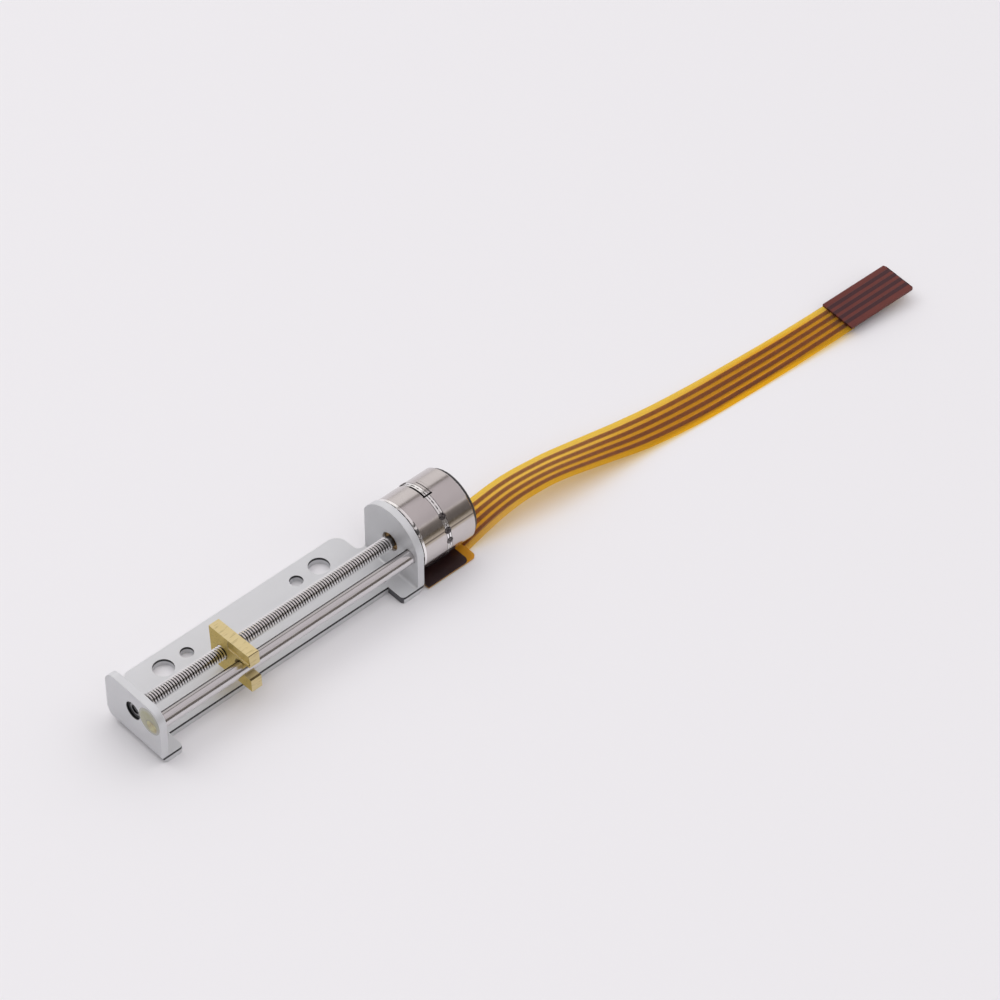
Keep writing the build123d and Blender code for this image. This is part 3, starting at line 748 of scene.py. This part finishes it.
# Painted shade: near black in the gaps at the seam, round the keys and where the cup meets the rear plate,
# ragged at its lower part.
gap_shade = math_node(tree, "MAXIMUM", math_node(tree, "MULTIPLY", span(tree, ragged, 0.40, 0.55, 0.1, 1.0),
                                           within(tree, along, seam - 0.00004, seam + 0.00004, 0.00002)),
                within(tree, along, seam + 0.00026, seam + 0.00028, 0.00002))
gap_shade = math_node(tree, "MAXIMUM", gap_shade, within(tree, along, seam - 0.00028, seam - 0.00026, 0.00002))
plate_gap_shade = math_node(tree, "MULTIPLY", within(tree, along, 0.01570, 0.01590, 0.00003),
                 span(tree, ragged, 0.42, 0.52, 0.25, 1.0))
gap_shade = math_node(tree, "MAXIMUM", gap_shade, plate_gap_shade)
lower_plate_gap_shade = math_node(tree, "MULTIPLY", within(tree, along, 0.01585, 0.01622, 0.00004),
                    within(tree, turn, 122, 146, 3))
lower_plate_gap_shade = math_node(tree, "MULTIPLY", lower_plate_gap_shade, span(tree, ragged, 0.46, 0.54, 0.0, 0.85))
gap_shade = math_node(tree, "MAXIMUM", gap_shade, lower_plate_gap_shade)
key_turn = within(tree, turn, 67, 99, 0.6)
key_front = within(tree, along, seam - 0.00038, seam - 0.00020, 0.00002)
key_rear = within(tree, along, seam + 0.00056, seam + 0.00062, 0.00002)
key_sides = math_node(tree, "MULTIPLY", math_node(tree, "MAXIMUM", key_front, key_rear), key_turn)
key_foot = math_node(tree, "MULTIPLY", within(tree, turn, 98, 100.2, 0.5),
                     within(tree, along, seam - 0.00042, seam + 0.00066, 0.00003))
gap_shade = math_node(tree, "MAXIMUM", gap_shade, math_node(tree, "MAXIMUM", key_sides, key_foot))
tree.links.new(colour_mix(tree, gap_shade, skin, (0.010, 0.009, 0.009)), shader.inputs["Base Color"])
shader.inputs["Metallic"].default_value = 1.0
rough = span(tree, fine, 0.3, 0.7, 0.15, 0.22)
rough = math_node(tree, "ADD", rough, math_node(tree, "MULTIPLY", gap_shade, 0.4))
tree.links.new(rough, shader.inputs["Roughness"])
relief = math_node(tree, "SUBTRACT", math_node(tree, "MULTIPLY", fine, 0.05), gap_shade)
raise_by(tree, shader, relief, 0.00004, 0.00006)
dress(["front_cup", "rear_cup", "front_yoke", "rear_yoke"], nickel)

# The keys of the yokes stand in the cut of the rear cup's rim and close it, flush with the cup.
bpy.ops.object.select_all(action="DESELECT")
bpy.ops.mesh.primitive_cylinder_add(vertices=240, radius=0.003996, depth=0.00066,
                                    location=(seam + 0.00059, 0, screw_axis), rotation=(0, math.pi / 2, 0))
keys = bpy.context.object
keys.name = "yoke_keys"
bpy.ops.object.transform_apply(location=True, rotation=True, scale=True)
bpy.ops.object.mode_set(mode="EDIT")
for cut_turn, kept in ((66.0, 1), (99.0, -1)):
    cut_angle = math.radians(cut_turn)
    bpy.ops.mesh.select_all(action="SELECT")
    across = (0, -kept * math.sin(cut_angle), kept * math.cos(cut_angle))
    bpy.ops.mesh.bisect(plane_co=(0, 0, screw_axis), plane_no=across, clear_inner=True, use_fill=True)
bpy.ops.mesh.select_all(action="SELECT")
bpy.ops.mesh.bisect(plane_co=(0, 0, screw_axis + 0.0033), plane_no=(0, 0, 1), clear_inner=True, use_fill=True)
bpy.ops.mesh.select_all(action="SELECT")
bpy.ops.mesh.normals_make_consistent(inside=False)
bpy.ops.object.mode_set(mode="OBJECT")
bpy.ops.object.shade_smooth_by_angle(angle=math.radians(40))
keys.data.materials.append(nickel)
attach(keys, "frame")

# Dark round spots of fused metal join the two cups across the seam, three on each side.
spots = []
for spot_turn in (136.0, 158.5, 176.0, 44.0, 21.5, 4.0):
    spot_angle = math.radians(spot_turn)
    bpy.ops.object.select_all(action="DESELECT")
    bpy.ops.mesh.primitive_uv_sphere_add(segments=24, ring_count=12, radius=1.0)
    spot = bpy.context.object
    outward = Matrix.Rotation(spot_angle - math.pi / 2, 4, "X")
    spot.data.transform(Matrix.Translation((seam, 0, screw_axis)) @ outward
                        @ Matrix.Translation((0, 0, 0.003995))
                        @ Matrix.Diagonal((0.00040, 0.00038, 0.00007, 1)))
    bpy.ops.object.shade_smooth()
    spots.append(spot)
fused = join(*spots)
fused.name = "seam_spots"
fused_metal, tree, shader = material("fused_metal")
grain = noise(tree, 7000.0, 4.0)
body_colour = colour_mix(tree, span(tree, grain, 0.38, 0.62, 0.0, 1.0),
                         (0.010, 0.008, 0.008), (0.22, 0.20, 0.20))
tree.links.new(body_colour, shader.inputs["Base Color"])
shader.inputs["Metallic"].default_value = 0.8
shader.inputs["Roughness"].default_value = 0.42
raise_by(tree, shader, grain, 0.00003)
fused.data.materials.append(fused_metal)
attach(fused, "frame")

# The end cap is a dark moulded disc behind the rear cup, which holds the thrust ball.
dark_cap, tree, shader = material("dark_cap")
grain = noise(tree, 8000.0, 3.0)
tree.links.new(colour_mix(tree, grain, (0.025, 0.023, 0.024), (0.06, 0.055, 0.055)),
               shader.inputs["Base Color"])
shader.inputs["Roughness"].default_value = 0.42
raise_by(tree, shader, grain, 0.000006, 0.00006)
dress(["end_cap", "terminal_block"], dark_cap)

# The rotor is a bonded magnet on a white hub, pressed on the screw's shank.
dark_magnet, tree, shader = material("bonded_magnet")
grain = noise(tree, 12000.0, 3.0)
tree.links.new(colour_mix(tree, grain, (0.035, 0.033, 0.035), (0.09, 0.085, 0.085)),
               shader.inputs["Base Color"])
shader.inputs["Metallic"].default_value = 0.3
shader.inputs["Roughness"].default_value = 0.5
dress(["rotor_magnet"], dark_magnet)

white_plastic, tree, shader = material("white_plastic")
grain = noise(tree, 5000.0, 3.0)
tree.links.new(colour_mix(tree, grain, (0.70, 0.69, 0.65), (0.80, 0.79, 0.75)), shader.inputs["Base Color"])
shader.inputs["Roughness"].default_value = 0.5
dress(["rotor_hub", "thrust_washer", "front_bobbin", "rear_bobbin"], white_plastic)

# The coils are enamelled copper wire wound round the bobbins.
wire, tree, shader = material("enamelled_wire")
turns_noise = noise(tree, 8000.0, 2.0, stretch=(1, 0.05, 0.05))
tree.links.new(colour_mix(tree, turns_noise, (0.42, 0.13, 0.05), (0.62, 0.24, 0.09)),
               shader.inputs["Base Color"])
shader.inputs["Metallic"].default_value = 0.6
shader.inputs["Roughness"].default_value = 0.35
raise_by(tree, shader, turns_noise, 0.00001)
dress(["front_coil", "rear_coil"], wire)

# Both motor bearings are sintered bronze, and the thrust ball is hardened steel.
bronze, tree, shader = material("sintered_bronze")
grain = noise(tree, 14000.0, 3.0)
tree.links.new(colour_mix(tree, grain, (0.34, 0.21, 0.09), (0.50, 0.33, 0.16)), shader.inputs["Base Color"])
shader.inputs["Metallic"].default_value = 1.0
shader.inputs["Roughness"].default_value = 0.45
dress(["motor_front_bearing", "motor_rear_bearing"], bronze)
dress(["thrust_ball"], polished)

# Four tinned pins come down from the terminal block and are soldered under the cable's head.
tin, tree, shader = material("tinned_pin")
grain = noise(tree, 10000.0, 3.0)
tree.links.new(colour_mix(tree, grain, (0.60, 0.60, 0.60), (0.72, 0.72, 0.72)), shader.inputs["Base Color"])
shader.inputs["Metallic"].default_value = 1.0
shader.inputs["Roughness"].default_value = 0.3
dress([f"terminal_pin_{k}" for k in range(1, 5)], tin)
dress([f"solder_joint_{k}" for k in range(1, 5)], tin)

# The cable's head is the same film under the motor, with a stiff maroon sheet glued on it; the sheet's maroon
# is darkened nearly to black, painted shade under the motor.
head_amber, tree, shader = material("head_film")
cloud = noise(tree, 900.0, 3.0)
tree.links.new(colour_mix(tree, cloud, (0.76, 0.38, 0.012), (0.84, 0.48, 0.03)), shader.inputs["Base Color"])
shader.inputs["Roughness"].default_value = 0.3
shader.inputs["Coat Weight"].default_value = 0.3
clear_through(tree, shader, (1.0, 0.70, 0.12), 0.45)
dress(["flex_head_film"], head_amber)

maroon, tree, shader = material("maroon_sheet")
cloud = noise(tree, 1500.0, 3.0)
tree.links.new(colour_mix(tree, cloud, (0.014, 0.005, 0.006), (0.034, 0.009, 0.008)),
               shader.inputs["Base Color"])
shader.inputs["Roughness"].default_value = 0.4
dress(["flex_head_backing"], maroon)
